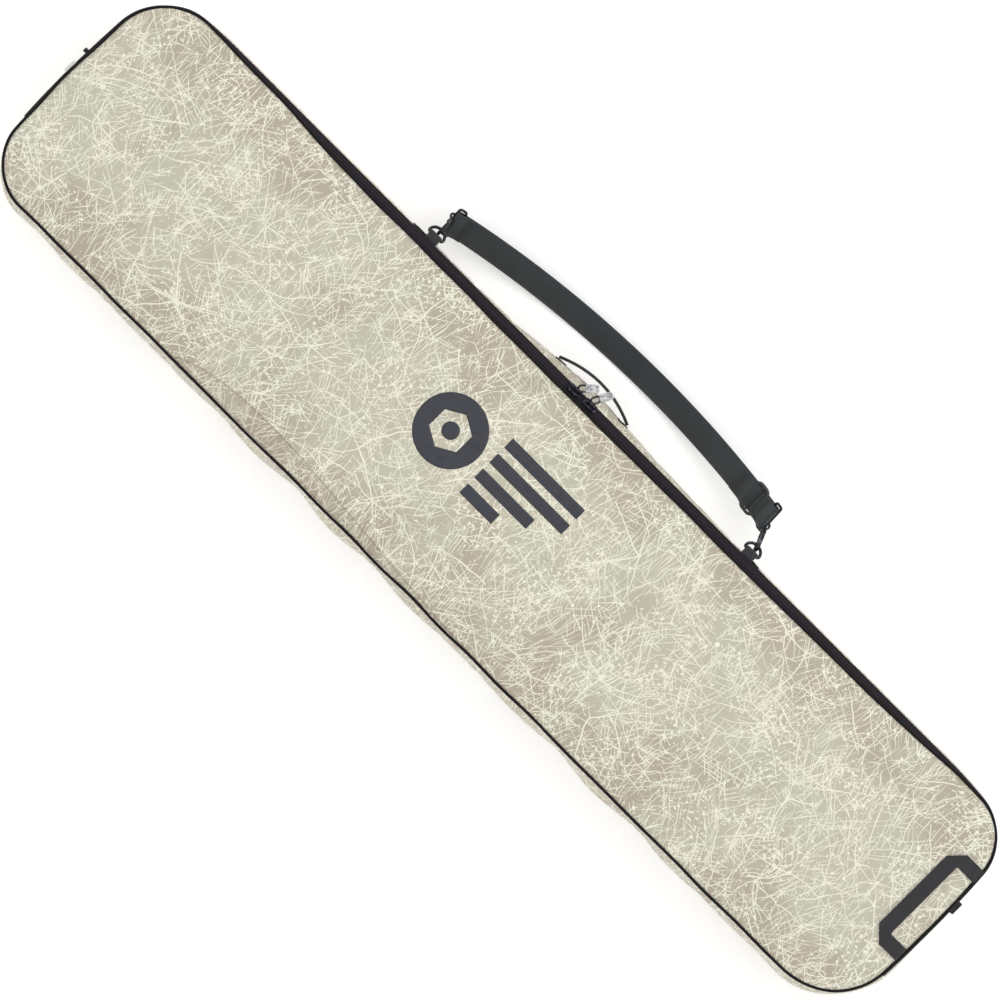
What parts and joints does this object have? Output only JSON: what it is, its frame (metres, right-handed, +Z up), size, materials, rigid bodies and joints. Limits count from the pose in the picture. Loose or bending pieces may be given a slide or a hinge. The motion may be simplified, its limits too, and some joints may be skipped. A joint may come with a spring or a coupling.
{
  "type": "snowboard bag",
  "caption": "Padded snowboard bag, flat and rounded, with a front panel that zips open, a webbing shoulder strap on snap hooks, a grab handle and an end handle.",
  "frame": {"origin": "middle of the back panel's underside, which rests on the floor", "axes": "+X along the length towards the tail end with the flat handle, +Y across towards the zip side with the shoulder strap, +Z up through the front panel"},
  "size_m": [1.658, 0.467, 0.1207],
  "materials": {
    "printed_fabric": "woven polyester, taupe ground with a cream splatter print",
    "back_fabric": "plain black coated polyester",
    "foam": "closed-cell foam",
    "lining": "plain woven lining",
    "piping": "black corded edging",
    "zip_tape": "black woven tape",
    "zip_coil": "black moulded coil",
    "slider_metal": "black painted casting",
    "clear_pull": "clear grey moulding",
    "webbing": "charcoal ribbed webbing",
    "hook_metal": "dark gunmetal plating",
    "adjuster_plastic": "black moulding",
    "label": "blank white woven label"
  },
  "bodies": {
    "bag": {"back_panel": "back_fabric", "back_foam": "foam", "back_lining": "lining", "gusset_fabric": "printed_fabric", "gusset_foam": "foam", "gusset_lining": "lining", "front_panel_fixed": "printed_fabric", "front_foam_fixed": "foam", "front_lining_fixed": "lining", "piping_back": "piping", "piping_front_fixed": "piping", "zip_tape_lower": "zip_tape", "zip_chain_lower": "zip_coil", "hold_tab_nose": "webbing", "hold_tab_tail": "webbing", "strap_anchor_nose": "webbing", "strap_anchor_tail": "webbing"},
    "flap": {"front_panel_flap": "printed_fabric", "front_foam_flap": "foam", "front_lining_flap": "lining", "piping_front_flap": "piping", "zip_tape_upper": "zip_tape", "zip_chain_upper": "zip_coil", "seam_label": "label"},
    "nose_slider": {"zip_slider_nose": "slider_metal"},
    "tail_slider": {"zip_slider_tail": "slider_metal"},
    "nose_pull": {"zip_pull_nose": "clear_pull"},
    "tail_pull": {"zip_pull_tail": "clear_pull"},
    "strap": {"shoulder_strap": "webbing", "strap_loop_nose": "hook_metal", "strap_loop_tail": "hook_metal", "swivel_ring_nose": "hook_metal", "swivel_ring_tail": "hook_metal"},
    "adjuster": {"strap_adjuster": "adjuster_plastic"},
    "nose_hook": {"snap_hook_nose": "hook_metal"},
    "tail_hook": {"snap_hook_tail": "hook_metal"},
    "nose_gate": {"hook_gate_nose": "hook_metal"},
    "tail_gate": {"hook_gate_tail": "hook_metal"},
    "nose_ring": {"d_ring_nose": "hook_metal"},
    "tail_ring": {"d_ring_tail": "hook_metal"},
    "grab": {"grab_handle": "webbing"},
    "end_grip": {"end_handle": "webbing"}
  },
  "joints": [
    {"name": "flap_open", "type": "hinge", "parent": "bag", "child": "flap", "pos_m": [0, -0.088, 0.1197], "axis": [1, 0, 0], "range_deg": [0, 120]},
    {"name": "nose_slider_run", "type": "slide", "parent": "bag", "child": "nose_slider", "axis": [1, 0, 0], "range_m": [-0.661, 0]},
    {"name": "tail_slider_run", "type": "slide", "parent": "bag", "child": "tail_slider", "axis": [1, 0, 0], "range_m": [0, 0.661]},
    {"name": "strap_swing", "type": "hinge", "parent": "bag", "child": "strap", "pos_m": [-0.314, 0.1902, 0.0885], "axis": [1, 0, 0], "range_deg": [0, 110]},
    {"name": "adjuster_run", "type": "hinge", "parent": "strap", "child": "adjuster", "pos_m": [-0.02563, -0.12487, 0.70418], "axis": [-0.0445, 0.874, 0.4839], "range_deg": [0, 8]},
    {"name": "grab_handle_tip", "type": "hinge", "parent": "bag", "child": "grab", "pos_m": [-0.015, 0.1895, 0.057], "axis": [1, 0, 0], "range_deg": [-35, 35], "stiffness_Nm_per_rad": 0.02},
    {"name": "end_handle_lift", "type": "hinge", "parent": "flap", "child": "end_grip", "pos_m": [0.812, 0.0225, 0.1195], "axis": [0, 1, 0], "range_deg": [0, 110]},
    {"name": "nose_pull_swing", "type": "hinge", "parent": "nose_slider", "child": "nose_pull", "pos_m": [-0.0305, 0.18235, 0.11203], "axis": [0.682, -0.7314, 0], "range_deg": [-25, 60], "stiffness_Nm_per_rad": 0.002},
    {"name": "nose_ring_swing", "type": "hinge", "parent": "bag", "child": "nose_ring", "pos_m": [-0.314, 0.1902, 0.0885], "axis": [1, 0, 0], "range_deg": [0, 110]},
    {"name": "nose_hook_swivel", "type": "hinge", "parent": "strap", "child": "nose_hook", "pos_m": [-0.315, 0.22726, 0.05812], "axis": [0.0301, -0.7507, 0.66], "range_deg": [-15, 15]},
    {"name": "nose_gate_open", "type": "hinge", "parent": "nose_hook", "child": "nose_gate", "pos_m": [-0.31443, 0.20867, 0.06513], "axis": [-0.9995, -0.0226, 0.0199], "range_deg": [0, 20], "stiffness_Nm_per_rad": 0.02, "springref_deg": -11.46},
    {"name": "tail_pull_swing", "type": "hinge", "parent": "tail_slider", "child": "tail_pull", "pos_m": [-0.006, 0.18235, 0.11203], "axis": [0.8829, -0.4695, 0], "range_deg": [-25, 60], "stiffness_Nm_per_rad": 0.002},
    {"name": "tail_ring_swing", "type": "hinge", "parent": "bag", "child": "tail_ring", "pos_m": [0.29, 0.1902, 0.0885], "axis": [1, 0, 0], "range_deg": [0, 110]},
    {"name": "tail_hook_swivel", "type": "hinge", "parent": "strap", "child": "tail_hook", "pos_m": [0.2789, 0.23081, 0.06711], "axis": [0.3364, -0.8583, 0.3875], "range_deg": [-15, 15]},
    {"name": "tail_gate_open", "type": "hinge", "parent": "tail_hook", "child": "tail_gate", "pos_m": [0.28516, 0.21197, 0.06794], "axis": [-0.9417, -0.3066, 0.1384], "range_deg": [0, 20], "stiffness_Nm_per_rad": 0.02, "springref_deg": -11.46}
  ],
  "couplings": [
    {"joint": "nose_slider_run", "follows": "flap_open", "m_per_rad": -0.31513},
    {"joint": "tail_slider_run", "follows": "flap_open", "m_per_rad": 0.31513},
    {"joint": "nose_ring_swing", "follows": "strap_swing", "ratio": 1},
    {"joint": "tail_ring_swing", "follows": "strap_swing", "ratio": 1}
  ]
}
